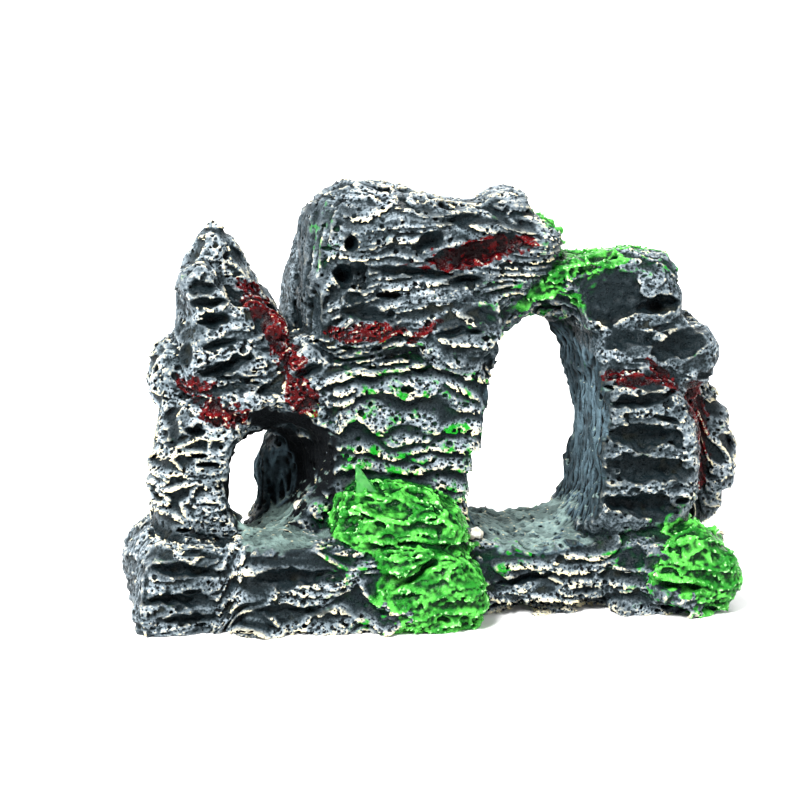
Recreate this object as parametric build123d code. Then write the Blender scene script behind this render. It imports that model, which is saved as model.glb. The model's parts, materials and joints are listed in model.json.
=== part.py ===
"""Resin cave ornament for an aquarium: a rockery of bonded stones with a small cave and a tall arch.

Units are millimetres. +Z is up, the front faces -Y, and the origin is the middle of the underside.
Each stone is lofted through similar outlines, then trimmed by the stones that were laid before it,
so that every glue joint is face to face.
"""

from build123d import *
import os

# ---- driving dimensions -------------------------------------------------------------------------
LENGTH = 160.0  # along X, from the left base block to the pillar's outer ridge
DEPTH = 64.0  # along Y, from the moss mound to the rear ledge
HEIGHT = 106.0  # top of the crown
FLOOR = 15.0  # top of the slab that carries everything
SILL = 18.5  # floor of the tall arch, at its front
CAVE_FLOOR = 22.0  # top of the ledge in front of the small cave
PASSAGE_END = 45.0  # the passages are cut from this far in front to this far behind
OUTLET_RIGHT = -46.0  # the small cave's outlet is pressed in beyond this X
POCK_RADIUS = 2.8  # the one large gas pock in the crown
POCK_DEPTH = 8.0
SHARD_THICKNESS = 1.6
ARCH_PEBBLE_RADIUS = 2.2
CAVE_PEBBLE_RADIUS = 1.8

LEFT, RIGHT = -LENGTH / 2, LENGTH / 2
FRONT, BACK = -DEPTH / 2, DEPTH / 2


# ---- making stones ------------------------------------------------------------------------------
def middle(outline):
    first, second = zip(*outline)
    return (min(first) + max(first)) / 2, (min(second) + max(second)) / 2


def resized(outline, size, shift=(0, 0)):
    """The outline scaled about its middle, then moved."""
    ca, cb = middle(outline)
    return [(ca + (a - ca) * size + shift[0], cb + (b - cb) * size + shift[1]) for a, b in outline]


def loft_rings(rings):
    """A solid through closed rings of points, flat between neighbouring rings."""
    wires = [Wire.make_polygon([Vector(*p) for p in ring], close=True) for ring in rings]
    return Solid.make_loft(wires, ruled=True)


def stone(outline, front, back, nose=0.7, tail=0.8, lean=(0, 0)):
    """A boulder with outline in X and Z, lofted along Y and rounded off towards its two ends.

    nose and tail are the size of the end faces as a share of the outline. lean moves the front
    face by that much in X and Z.
    """
    profile = (  # share of the depth, size of the outline, share of the lean
        (0.0, nose, 1.0),
        (0.12, nose + 0.65 * (1 - nose), 0.75),
        (0.32, 1.0, 0.35),
        (0.75, 1.0, 0.0),
        (1.0, tail, 0.0),
    )
    rings = []
    for share, size, tilt in profile:
        y = front + (back - front) * share
        ring = resized(outline, size, (lean[0] * tilt, lean[1] * tilt))
        rings.append([(x, y, z) for x, z in ring])
    return loft_rings(rings)


def slab(outline, bottom, top, crown=0.95):
    """A flat-bedded stone with outline in X and Y, its upper edges drawn in."""
    rings = []
    for share, size in ((0.0, 1.0), (0.7, 1.0), (1.0, crown)):
        z = bottom + (top - bottom) * share
        rings.append([(x, y, z) for x, y in resized(outline, size)])
    return loft_rings(rings)


def pinched(outline, limit, share):
    """The outline with what lies to the right of limit pressed in to a share of its reach."""
    return [(x if x < limit else limit + share * (x - limit), z) for x, z in outline]


def passage(sections):
    """A smooth tunnel along Y through outlines in X and Z, each given with its Y."""
    wires = []
    for y, outline in sections:
        curve = Edge.make_spline([Vector(x, y, z) for x, z in outline], periodic=True)
        wires.append(Wire([curve]))
    return Solid.make_loft(wires, ruled=True)


# ---- the hollows --------------------------------------------------------------------------------
def cave_passage():
    """Round, wider at its mouth, falling and narrowing to the back, where the buttress half shuts it."""
    mouth = [
        (-56, 31), (-55.7, 40), (-53.5, 48), (-49, 53.5), (-42, 56), (-35.5, 53.5),
        (-29.5, 47), (-28.3, 40), (-30.5, 33.5), (-36, 27), (-44, 22.5), (-52, 24),
    ]  # fmt: skip
    throat = resized(mouth, 0.7, (-2.3, -9))
    outlet = pinched(resized(mouth, 0.74, (-3, -11)), OUTLET_RIGHT, 0.2)
    return passage(
        [(-PASSAGE_END, mouth), (-11, mouth), (13, throat), (15, outlet), (PASSAGE_END, outlet)]
    )


def arch_passage():
    """Tall and pointed, leaning over to the right and lower at the back."""
    mouth = [
        (21, 76), (14.5, 68), (10.5, 58), (8, 46), (5.5, 32), (6.5, SILL + 2), (13, SILL - 1),
        (29, SILL - 1), (35, SILL + 3), (37.5, 36), (38.5, 52), (36.5, 68), (33, 77), (27, 79),
    ]  # fmt: skip
    outlet = [
        (25, 69), (20, 62), (16, 53), (13.5, 42), (12, 29), (13.5, SILL), (19, SILL - 2.5),
        (31, SILL - 2.5), (37, SILL + 1), (40, 30), (41.5, 41), (39.5, 51), (36, 62), (31, 69),
    ]  # fmt: skip
    return passage([(-PASSAGE_END, mouth), (-12, mouth), (28, outlet), (PASSAGE_END, outlet)])


def crown_pock():
    """A blind round hole, made by a gas bubble, in the crown's front face."""
    axis = Plane(origin=(-23.5, -13, 85), z_dir=(0.15, 1, 0.1))
    return Solid.make_cylinder(POCK_RADIUS, POCK_DEPTH, axis)


# ---- the stones, in the order they are laid -----------------------------------------------------
def base_stones():
    foot = [
        (-77, 6), (-76, -8), (-62, -13), (-40, -16), (-10, -20), (9, -20), (20, -11), (31, -9),
        (43, -15), (57, -18), (66, -8), (70, 6), (66, 20), (46, 26), (10, 27), (-22, 26),
        (-52, 27), (-70, 20),
    ]  # fmt: skip
    left = [(-78, 0), (LEFT, 8), (-79, 15), (-75, 22), (-63, 22), (-57, 20), (-56, 8), (-58, 0)]
    ledge = [(-57, 0), (-56, CAVE_FLOOR), (-29, CAVE_FLOOR), (-17, 18), (-13, 8), (-15, 0)]
    sill = [(5, 2), (3, 12), (5, SILL), (31, SILL), (39, 20), (47, 19), (49, 8), (43, 2)]
    right = [(39, 0), (37, 10), (43, 19), (53, 20), (62, 21), (70, 16), (74, 8), (72, 1), (69, 0)]
    rear_left = [(-74, 0), (-76, 10), (-68, 17), (-47, 13), (-23, 16), (-7, 12), (-5, 0)]
    rear_right = [(-5, 0), (-7, 12), (13, 13), (37, 12), (57, 16), (69, 12), (71, 0)]
    return {
        "base_slab": slab(foot, 0, FLOOR),
        "base_left_block": stone(left, -21, 26, nose=0.86),
        "base_right_block": stone(right, -27, 22, nose=0.86),
        "cave_ledge": stone(ledge, -27, 4, nose=0.88),
        "arch_sill": stone(sill, -22, 24, nose=0.86),
        "rear_ledge_left": stone(rear_left, 12, BACK, nose=1.0, tail=0.86),
        "rear_ledge_right": stone(rear_right, 12, BACK - 1, nose=1.0, tail=0.86),
    }


def centre_stones():
    column = [
        (-31, 14), (-32, 36), (-30, 54), (-33, 63), (-25, 66), (-9, 66), (3, 63), (13, 62),
        (11, 48), (9, 36), (7, 24), (9, 14),
    ]  # fmt: skip
    crown = [
        (-33, 66), (-35, 80), (-35, 92), (-32, 101), (-25, HEIGHT), (-15, HEIGHT - 0.5),
        (-4, 104), (9, 102.5), (22, 99), (29, 95), (30, 90), (25, 84), (19, 78), (6, 72),
        (-3, 68), (-13, 65), (-25, 64),
    ]  # fmt: skip
    knob = [(6, 99), (9, 103), (14, 105.5), (20, 105), (22.5, 101), (20, 96), (8, 96)]
    brow = [(-8, 66), (-5, 72), (2, 78.5), (9, 81), (14, 79), (15.5, 73), (12, 66), (8, 61), (-2, 61)]
    fin = [(-36, 60), (-37.5, 71), (-37, 79), (-35, 86), (-32, 93), (-28, 95), (-27, 80), (-27, 60)]
    buttress = [
        (-44, 4), (-48, 18), (-47, 31), (-42, 39), (-36, 50), (-29, 66), (-9, 74), (5, 68),
        (5, 50), (1, 30), (1, 4),
    ]  # fmt: skip
    return {
        "centre_column": stone(column, -12, 20, nose=0.84, tail=1.0),
        "crown_block": stone(crown, -12, 24, nose=0.8, lean=(3, 0)),
        "crown_knob": stone(knob, -6, 12),
        "arch_brow": stone(brow, -15, 12, nose=0.74),
        "rear_fin": stone(fin, 14, 27),
        "rear_buttress": stone(buttress, 14, 31, nose=1.0, tail=0.74),
    }


def cave_stones():
    ring = [
        (-72, 14), (-73, 28), (-73, 37), (-71, 47), (-67, 54), (-54, 60), (-40, 62), (-30, 57),
        (-25, 46), (-25, 14),
    ]  # fmt: skip
    boulder = [(-67, 69), (-70.5, 65), (-72.5, 60), (-71.5, 54), (-69, 49), (-62, 50), (-59, 60), (-62, 69)]
    rib = [
        (-60, 89), (-65, 87), (-66, 80), (-65.5, 70), (-66, 60), (-61, 50), (-35, 52), (-32, 58),
        (-45, 71), (-54, 82),
    ]  # fmt: skip
    peak = [
        (-55.5, 97), (-60, 92), (-64, 85), (-64.5, 70), (-59, 54), (-39, 56), (-38, 68),
        (-41, 76), (-47, 86), (-51.5, 94),
    ]  # fmt: skip
    flake_upper = [(-51, 79), (-48, 83), (-43, 78), (-44, 74), (-48, 74)]
    flake_lower = [(-46, 76), (-43, 79), (-39, 72), (-41, 67), (-45, 70)]
    knuckle = [(-40, 67), (-34, 70), (-29, 65), (-27, 54), (-25, 42), (-31, 42), (-41, 54)]
    leg = [(-69, 6), (-70.5, 20), (-70, 40), (-66, 58), (-60, 66), (-55, 60), (-59, 44), (-60, 6)]
    return {
        "cave_ring": stone(ring, -9, 15, nose=0.88, tail=0.9),
        "spire_peak": stone(peak, 2, 17, nose=0.82, tail=0.7),
        "spire_rib": stone(rib, -6, 12, nose=0.8, tail=0.9),
        "left_boulder": stone(boulder, -1, 15),
        "cave_knuckle": stone(knuckle, -9, 12, nose=0.74),
        "spire_flake_upper": stone(flake_upper, -3, 8, nose=0.8),
        "spire_flake_lower": stone(flake_lower, -4, 8, nose=0.8),
        "rear_left_leg": stone(leg, 10, 29, nose=1.0, tail=0.74),
    }


def pillar_stones():
    core = [(33, 12), (35, 40), (33, 66), (41, 76), (59, 72), (68, 54), (69, 30), (67, 12)]
    lintel = [(11, 70), (15, 80), (25, 85), (37, 86), (41, 78), (39, 66), (31, 66), (21, 68)]
    top = [
        (33, 81), (38, 86), (51, 87), (57, 86.5), (60, 82.5), (63.5, 75.5), (60, 69), (49, 68),
        (37, 68), (32, 72),
    ]  # fmt: skip
    shoulder = [
        (34, 60), (37, 69), (50, 71), (63, 73), (68, 71), (72, 66), (72.5, 60), (69, 55),
        (63, 53), (47, 56), (35, 54),
    ]  # fmt: skip
    boss = [
        (33, 54), (41, 60), (49, 62), (56, 59), (61, 52), (64, 41), (64, 27), (58, 19), (35, 18),
        (32, 28), (34, 42),
    ]  # fmt: skip
    ridge = [
        (66, 54), (73, 51), (77, 46), (RIGHT, 37), (RIGHT - 0.5, 27), (75.5, 17), (64, 12),
        (61, 32), (61, 50),
    ]  # fmt: skip
    return {
        "pillar_core": stone(core, -6, 27, nose=0.94),
        "arch_lintel": stone(lintel, -6, 20, nose=0.8, tail=0.9),
        "pillar_top": stone(top, -11, 20, nose=0.76),
        "pillar_shoulder": stone(shoulder, -14, 20, nose=0.8),
        "pillar_boss": stone(boss, -21, 4, nose=0.82),
        "pillar_ridge": stone(ridge, -4, 20, nose=0.72),
    }


def small_pieces():
    """The upright leaf-shaped shard, and the two pebbles glued to the floors."""
    leaf = [(-25, 41), (-18, 31), (-17, 25), (-20, 19), (-24, 26)]
    shard = Face(Wire.make_polygon([Vector(x, -17, z) for x, z in leaf], close=True))
    return {
        "leaf_shard": extrude(shard, amount=SHARD_THICKNESS, dir=(0.35, 1, 0)).solid(),
        "pebble_arch": Pos(7, -11, SILL + 0.2) * Sphere(ARCH_PEBBLE_RADIUS).solid(),
        "pebble_cave": Pos(-36, -1, CAVE_FLOOR + 4) * Sphere(CAVE_PEBBLE_RADIUS).solid(),
    }


def moss_patches():
    mound = [(-21, 0), (-24, 10), (-20, 21), (-5, 21), (5, 15), (8, 6), (6, 0)]
    bank = [(-30, 20), (-30, 31), (-24, 36), (-10, 35), (0, 30), (5, 20), (-3, 14), (-19, 15)]
    right = [(46, 3), (45, 13), (54, 21), (62, 22.5), (69.5, 17), (73, 8), (71, 2), (60, 1)]
    arch = [
        (16, 76), (19, 84), (25, 87.5), (37, 88.5), (41, 85), (37, 80), (38, 73), (30, 71),
        (22, 73),
    ]  # fmt: skip
    cap = [(35, 83), (37, 88.5), (51, 89), (60, 87.5), (62, 82), (59, 79), (53, 81.5), (43, 82)]
    drip = [(23, 82), (25, 90), (26, 98), (31, 96), (32.5, 90), (29, 84)]
    return {
        "moss_mound": stone(mound, FRONT, -10, nose=0.8),
        "moss_bank": stone(bank, -25, -4, lean=(0, -2)),
        "moss_right": stone(right, FRONT + 0.5, -8, nose=0.78),
        "moss_arch": stone(arch, -9, 14, nose=0.8),
        "moss_cap": stone(cap, -8, 15, nose=0.8),
        "moss_drip": stone(drip, -5, 10, nose=0.8),
    }


# ---- putting them together ----------------------------------------------------------------------
def whole_part(shape):
    """The stone itself, without the scraps that trimming left."""
    return max(shape.solids(), key=lambda solid: solid.volume)


def near(shapes, shape):
    """Those of shapes whose boxes reach into the box of shape."""
    return [other for other in shapes if other.bounding_box().overlaps(shape.bounding_box())]


def lay(laid, stones, hollows):
    """Add stones to those already laid, each less the hollows and less every stone before it."""
    for name, shape in stones.items():
        for other in near(hollows, shape) + near(laid.values(), shape):
            shape = shape - other
        laid[name] = whole_part(shape)


def main():
    os.makedirs("parts", exist_ok=True)
    hollows = [cave_passage(), arch_passage(), crown_pock()]
    laid = {}
    for stones in (base_stones(), centre_stones(), cave_stones(), pillar_stones()):
        lay(laid, stones, hollows)
    lay(laid, small_pieces(), [])
    lay(laid, moss_patches(), hollows)
    for name, shape in laid.items():
        export_step(shape, f"parts/{name}.step")


main()
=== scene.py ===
"""The looks of the resin cave ornament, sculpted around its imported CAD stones.

The distance fields of the CAD stones are joined and rounded into one rocky mass. It is weathered with
ledges, strata, scoops, gas pits and moss, and cut apart again along the stones' bond faces, so each CAD
node gets one closed, detailed piece in its own place. Lengths are millimetres until a mesh is made.
"""

import json
import math
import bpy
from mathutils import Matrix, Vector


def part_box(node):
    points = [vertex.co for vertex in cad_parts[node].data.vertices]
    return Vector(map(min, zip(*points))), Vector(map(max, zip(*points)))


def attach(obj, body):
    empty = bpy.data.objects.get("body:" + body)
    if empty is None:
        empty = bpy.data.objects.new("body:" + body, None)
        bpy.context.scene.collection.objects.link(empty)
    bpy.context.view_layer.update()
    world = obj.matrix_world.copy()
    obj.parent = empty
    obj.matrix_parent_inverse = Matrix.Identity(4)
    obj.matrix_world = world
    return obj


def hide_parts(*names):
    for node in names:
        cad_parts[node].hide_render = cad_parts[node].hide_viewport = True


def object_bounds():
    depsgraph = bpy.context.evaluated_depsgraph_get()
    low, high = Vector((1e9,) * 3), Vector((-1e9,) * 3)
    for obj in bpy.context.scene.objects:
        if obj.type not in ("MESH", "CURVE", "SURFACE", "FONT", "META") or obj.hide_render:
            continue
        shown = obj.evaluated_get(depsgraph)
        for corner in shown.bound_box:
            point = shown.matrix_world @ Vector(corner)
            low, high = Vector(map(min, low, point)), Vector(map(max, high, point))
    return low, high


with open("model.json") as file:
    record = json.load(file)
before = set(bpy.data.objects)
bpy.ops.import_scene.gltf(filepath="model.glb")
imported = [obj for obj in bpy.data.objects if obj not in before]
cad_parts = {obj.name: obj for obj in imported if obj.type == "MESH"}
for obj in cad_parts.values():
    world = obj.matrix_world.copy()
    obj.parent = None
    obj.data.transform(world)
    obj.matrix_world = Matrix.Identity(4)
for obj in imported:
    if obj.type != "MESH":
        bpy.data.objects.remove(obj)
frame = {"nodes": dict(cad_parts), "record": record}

from concurrent.futures import ThreadPoolExecutor

import bpy
import numpy as np
import openvdb as vdb
from mathutils import Vector

CAD_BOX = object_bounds()
RECORD = frame["record"]
SLOT_OF = {part["node"]: part["material_slot"] for part in RECORD["subparts"]}
MM = 0.001  # metres in a millimetre

# ---- how finely things are sculpted, in millimetres ----
COARSE = 0.8  # step of the grid that holds the stones' distance fields
FINE = 0.34  # step of the grids that the rock's meshes are taken from
TINY = 0.2  # step of the grids for the glued bits
REACH = 6.0  # distances are known this far from a surface
DEEPEST, HIGHEST = -3.9, 1.3  # weathering is worked out between these distances
OVERLAP = 0.3  # neighbouring pieces run into each other by this much
MARGIN = 3.2  # room around a stone in its fine grid
THREADS = 4  # stones carved at the same time
MOST_FACES = 195000  # no piece has more triangles than this

GLUED = ("leaf_shard", "pebble_arch", "pebble_cave")
STONES = [name for name in sorted(frame["nodes"]) if name not in GLUED]
MOSSY = [name for name in STONES if name.startswith("moss_")]

# ---- how each stone is weathered: shares of the forms below ----
CRAGS = {"crags": 1.0}
NET = {"net": 1.0}
WEATHER = {
    "arch_brow": {"scoops": 0.6, "net": 0.4},
    "arch_lintel": {"strata": 0.6, "net": 0.4},
    "arch_sill": CRAGS,
    "base_left_block": {"strata": 0.5, "crags": 0.5},
    "base_right_block": {"scoops": 0.4, "crags": 0.6},
    "base_slab": CRAGS,
    "cave_knuckle": {"net": 0.5, "calm": 0.5},
    "cave_ledge": CRAGS,
    "cave_ring": NET,
    "centre_column": {"ledges": 1.0},
    "crown_block": {"strata": 1.0},
    "crown_knob": {"strata": 0.7, "calm": 0.3},
    "left_boulder": NET,
    "moss_arch": {"crags": 0.5, "net": 0.5},
    "moss_bank": NET,
    "moss_cap": NET,
    "moss_drip": NET,
    "moss_mound": {"crags": 0.6, "strata": 0.4},
    "moss_right": {"crags": 0.6, "net": 0.4},
    "pillar_boss": {"net": 0.3, "strata": 0.3, "calm": 0.4},
    "pillar_core": {"scoops": 0.6, "strata": 0.4},
    "pillar_ridge": NET,
    "pillar_shoulder": {"net": 0.3, "calm": 0.7},
    "pillar_top": {"net": 0.15, "calm": 0.85},
    "rear_buttress": {"ledges": 0.7, "strata": 0.3},
    "rear_fin": {"calm": 1.0},
    "rear_ledge_left": CRAGS,
    "rear_ledge_right": CRAGS,
    "rear_left_leg": {"net": 0.5, "ledges": 0.5},
    "spire_flake_lower": {"net": 0.5, "calm": 0.5},
    "spire_flake_upper": {"calm": 1.0},
    "spire_peak": {"calm": 0.4, "net": 0.6},
    "spire_rib": {"strata": 0.3, "net": 0.4, "calm": 0.3},
}
STYLES = ("ledges", "strata", "crags", "net", "scoops", "calm")

# The values that every vertex of a stone carries for its material.
PAINTED = ("crest", "hollow", "crumbly", "moss", "damp", "wall", "tunnel", "red", "green", "bare")

# Hollows in each stone's front: the middle's place along and up the stone's box, half the length,
# half the height, the depth, and the rise to the right.
HOLLOWS = {
    "crown_block": [
        (0.63, 0.65, 13, 3, 2.8, 0.19), (0.65, 0.84, 9.5, 1.5, 2.4, 0.03),
        (0.59, 0.48, 4.2, 1.3, 2.4, 0.12), (0.2, 0.29, 9, 2, 2.6, -0.2),
        (0.45, 0.72, 4, 1.6, 2.2, 0.25), (0.83, 0.79, 3.2, 1, 2, 0.05),
        (0.4, 0.53, 11, 1.1, 1.6, -0.08), (0.44, 0.93, 2.4, 1.6, 2, -0.2), (0.72, 0.95, 6, 1, 1.6, 0.1),
        (0.14, 0.51, 2.9, 2.9, 8, 0), (0.16, 0.71, 1.6, 1.7, 3.5, 0), (0.12, 0.84, 1.4, 1, 2.5, 0),
        (0.16, 0.4, 2.6, 1.7, 2.6, -0.2),
    ],
    "arch_brow": [(0.66, 0.8, 4.8, 2.4, 1.7, -0.2), (0.31, 0.56, 6, 1.1, 1.7, 0.15)],
    "pillar_top": [(0.24, 0.6, 9, 8.5, 1.6, -0.1), (0.7, 0.44, 6, 2.6, 4, 0.12)],
    "pillar_shoulder": [
        (0.6, 0.7, 8, 3.8, 2.4, 0.18), (0.18, 0.8, 8.5, 3.2, 2.2, -0.08),
        (0.84, 0.25, 3.2, 2, 1.6, 0.15), (0.61, 0.35, 4.6, 1.6, 2.2, -0.3),
    ],
    "pillar_boss": [
        (0.43, 0.94, 6.9, 2.6, 2.4, -0.12), (0.43, 0.82, 8.6, 1.7, 2, 0.05),
        (0.46, 0.61, 10.5, 3.2, 3, -0.1), (0.67, 0.7, 2.9, 0.9, 1.6, -0.15),
        (0.5, 0.41, 11.5, 4, 3.2, -0.12), (0.44, 0.2, 10.5, 3, 2.6, -0.1),
    ],
    "spire_rib": [
        (0.15, 0.83, 3.9, 1.5, 2, 0.05), (0.19, 0.73, 5.2, 1.1, 1.4, 0),
        (0.26, 0.61, 3.7, 1.9, 2.6, -0.1), (0.29, 0.42, 4.9, 1.1, 1.8, 0.15),
        (0.33, 0.25, 6.9, 1.9, 3, 0.3), (0.34, 0.1, 6.9, 1.2, 1.8, 0.15),
    ],
    "left_boulder": [(0.58, 0.9, 2.1, 4.8, 3, 0)],
    "cave_ring": [
        (0.08, 0.72, 2.5, 3.7, 1.8, 0), (0.23, 0.71, 2.5, 1, 1.6, -0.1),
        (0.63, 0.92, 2.5, 1.1, 2.4, 0.1), (0.2, 0.2, 6, 2.2, 2.6, -0.05),
    ],
    "cave_knuckle": [(0.39, 0.65, 3.8, 1.4, 2.6, 0.35)],
    "rear_fin": [(0.42, 0.42, 1.2, 5.7, 4, 0)],
    "base_right_block": [(0.12, 0.8, 6, 5, 4, -0.1), (0.45, 0.42, 8, 1.3, 2.6, -0.1)],
    "centre_column": [(0.2, 0.36, 5, 2.2, 3, -0.5), (0.42, 0.4, 3.2, 1.6, 3, 0.1)],
    "cave_ledge": [
        (0.36, 0.68, 13, 2, 2.8, 0.02), (0.8, 0.62, 9, 2.7, 3.2, 0.1), (0.32, 0.3, 9, 1.5, 2.6, -0.05),
        (0.74, 0.28, 6, 1.4, 2.4, -0.15),
    ],
    "base_left_block": [
        (0.5, 0.76, 10, 1.7, 2.8, -0.12), (0.45, 0.42, 9.5, 1.4, 2.4, -0.05),
        (0.6, 0.2, 8, 1.2, 2.2, 0.03),
    ],
    "moss_mound": [
        (0.35, 0.72, 9, 1.5, 3.2, 0.6), (0.4, 0.8, 2.2, 1.6, 2, 0.2), (0.58, 0.16, 2.1, 1.2, 2.2, 0),
        (0.76, 0.17, 2, 1.1, 2.2, 0),
    ],
    "arch_sill": [(0.3, 0.42, 8, 0.9, 2.6, 0.15)],
}

# Patches of red wash, green tint and bare rock on each stone's front or rear: the middle's place
# along and up the stone's box, half the length, half the height, and the rise to the right.
RED_PATCHES = {
    "crown_block": [(0.63, 0.63, 13.5, 3.4, 0.19), (0.2, 0.17, 9, 2.3, 0.05)],
    "arch_brow": [(0.07, 0.57, 3.8, 1.5, 0.6)],
    "spire_flake_upper": [(0.5, 0.55, 3.4, 4.6, -1)],
    "spire_flake_lower": [(0.5, 0.5, 4, 6, -1)],
    "cave_knuckle": [(0, 0.85, 4.4, 4.4, -0.8), (0.27, 0.42, 4, 4.8, -0.8)],
    "cave_ring": [(0.38, 0.8, 6, 3.4, -0.2), (0.25, 0.93, 4.2, 2.3, -0.2)],
    "pillar_boss": [(0.4, 0.935, 6.5, 1.8, -0.1), (0.97, 0.74, 2.2, 6, -0.6)],
    "pillar_shoulder": [(0.47, 0.33, 4.2, 2.2, -0.9)],
    "pillar_ridge": [(-0.1, 0.94, 4, 5, -1), (0, 0.68, 4.2, 6.5, -0.5), (0.02, 0.45, 3.4, 5.5, 0)],
}
GREEN_PATCHES = {
    "centre_column": [(0.5, 0.45, 22, 27, 0)],
    "cave_ring": [(1, 0.16, 6, 12, 0)],
    "base_right_block": [(0.3, 0.75, 12, 5, 0)],
    "arch_sill": [(0.15, 0.75, 13, 4, 0)],
    "crown_block": [(0.97, 0.62, 5, 12, 0), (0.07, 0.72, 2.6, 8, 0)],
    "arch_lintel": [(0.4, 0.5, 14, 9, 0)],
    "pillar_top": [(0.6, 1, 15, 2.5, 0)],
    "pillar_core": [(0.55, 0.05, 16, 5, 0)],
}
REAR_RED_PATCHES = {
    "rear_buttress": [(0.62, 0.72, 8, 2.4, 0.15)],
    "rear_left_leg": [(0.55, 0.7, 4, 3, -0.3)],
}
REAR_GREEN_PATCHES = {
    "rear_ledge_right": [(0.6, 0.7, 22, 7, 0)],
    "rear_ledge_left": [(0.35, 0.6, 16, 7, 0)],
    "rear_buttress": [(0.3, 0.15, 12, 10, 0)],
    "arch_lintel": [(0.5, 0.75, 14, 8, 0)],
}
BARE_PATCHES = {
    "moss_cap": [
        (0.66, 0.3, 13, 5, 0.1), (0.72, 0.75, 9.5, 5, 0), (0.5, 0.5, 9, 2.6, 0.05),
        (0.2, 0.05, 8, 4, 0),
    ],
    "moss_mound": [(0.08, 0.15, 6, 4, 0.2)],
    "moss_right": [(0.2, 0.1, 9, 5, -0.1), (0.05, 0.75, 4, 5, 0)],
    "moss_arch": [(0.72, 0.55, 3.2, 2.6, 0.2)],
}
PATCHES = {
    "red": (RED_PATCHES, REAR_RED_PATCHES),
    "green": (GREEN_PATCHES, REAR_GREEN_PATCHES),
    "bare": (BARE_PATCHES, {}),
}

# Where the rounded mass is pressed in, or swollen where the depth is negative: the middle's x, y
# and z, the radius and the depth, in mm.
DENTS = [
    (-11, -25, 33, 9, 3.6), (-20, -22, 31, 7, 3.4), (-55, 8, 97.5, 4.5, -2), (-66, -1, 84, 4.5, -0.8),
    (-64.5, 5, 91.5, 6, 3.2), (-66.5, -2, 76, 7, 3.2), (-30, 4, 103, 6, -1.4), (-27.5, -8, 80, 4, 1.6),
    (61, -12, 46, 5, -1.6), (66, 3, 72, 5.5, 4.2), (62, 4, 70.5, 4.5, 4.2), (64.5, 2, 82, 5.5, 3),
    (80.5, 8, 26, 5.5, 2), (70, -16, 19, 5, -2.2), (28, 3, 72, 5, -2.2), (12.5, -6, 64.5, 5, -2.6),
    (29.5, 0, 70.5, 5, -3), (31.5, 8, 69, 5, -3.2), (33.5, 16, 67.5, 5, -3), (36.5, 6, 29, 7, 2.2),
    (38, 2, 89.5, 9, 1.2), (32.5, 2, 90.5, 3.5, 1.6), (79, 3, 22, 7, 3.4), (74.5, -12, 16.5, 5, -3.4),
    (-36, 18, 88, 9, 1.6), (-37.5, 20, 76, 8, 1.4), (-44.5, 4, 44.5, 5, -1.5), (-51, 2, 24, 4, -2.2),
    (-79, -17, 4, 5, -1.5), (-78, -12, 20, 6, 1), (-74, 6, 58, 4, 1.5), (64, 0, 84, 6, 2),
    (65, 0, 71.5, 4.5, 1.5), (-32, 20, 96, 7, 2.2), (-18, 0, 107, 12, -1.5), (39, 22, 38, 9, 1.6),
    (36, 22, 21, 5, 1.4), (-44.5, 26, 36, 6, 3.4), (-44.5, 27, 24, 6, 2), (63.5, -5, 73, 5, 3.6),
    (-66, 3, 78, 5, 1.8), (-24, 24, 104, 10, 2.6), (12, 20, 106, 12, 2.2), (30, 22, 92, 8, 2.4),
    (-6, -10, 106, 9, -0.8), (38, 30, 60, 10, 2.2), (-12, 31, 52, 12, 2.2), (-30, 31, 20, 10, 2),
]


# ---- number helpers ----
def smoothstep(low, high, value):
    t = np.clip((value - low) / (high - low), 0, 1)
    return t * t * (3 - 2 * t)


def mix(a, b, share):
    return a + (b - a) * share


class Noise:
    """Smooth gradient noise, about -1 to 1, the same on every run."""

    CHUNK = 60000

    def __init__(self, seed):
        rng = np.random.default_rng(seed)
        self.order = np.tile(rng.permutation(256), 3).astype(np.int32)
        slopes = rng.normal(size=(256, 3))
        slopes /= np.linalg.norm(slopes, axis=1, keepdims=True)
        self.slopes = np.ascontiguousarray(slopes.T, dtype=np.float32)

    def __call__(self, x, y, z):
        out = np.empty(len(x), np.float32)
        for start in range(0, len(x), self.CHUNK):
            part = slice(start, start + self.CHUNK)
            out[part] = self._some(x[part], y[part], z[part])
        return out

    def _some(self, x, y, z):
        cells, offsets, fades = [], [], []
        for value in (x, y, z):
            cell = np.floor(value)
            offset = (value - cell).astype(np.float32)
            cells.append(cell.astype(np.int32) & 255)
            offsets.append(offset)
            fades.append(offset * offset * offset * (offset * (offset * 6 - 15) + 10))
        total = 0
        for i in (0, 1):
            row = self.order[cells[0] + i]
            wx = fades[0] if i else 1 - fades[0]
            for j in (0, 1):
                column = self.order[row + cells[1] + j]
                wxy = wx * (fades[1] if j else 1 - fades[1])
                for k in (0, 1):
                    pick = self.order[column + cells[2] + k]
                    slope = (
                        self.slopes[0][pick] * (offsets[0] - i)
                        + self.slopes[1][pick] * (offsets[1] - j)
                        + self.slopes[2][pick] * (offsets[2] - k)
                    )
                    total = total + slope * wxy * (fades[2] if k else 1 - fades[2])
        return total * 1.6


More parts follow.
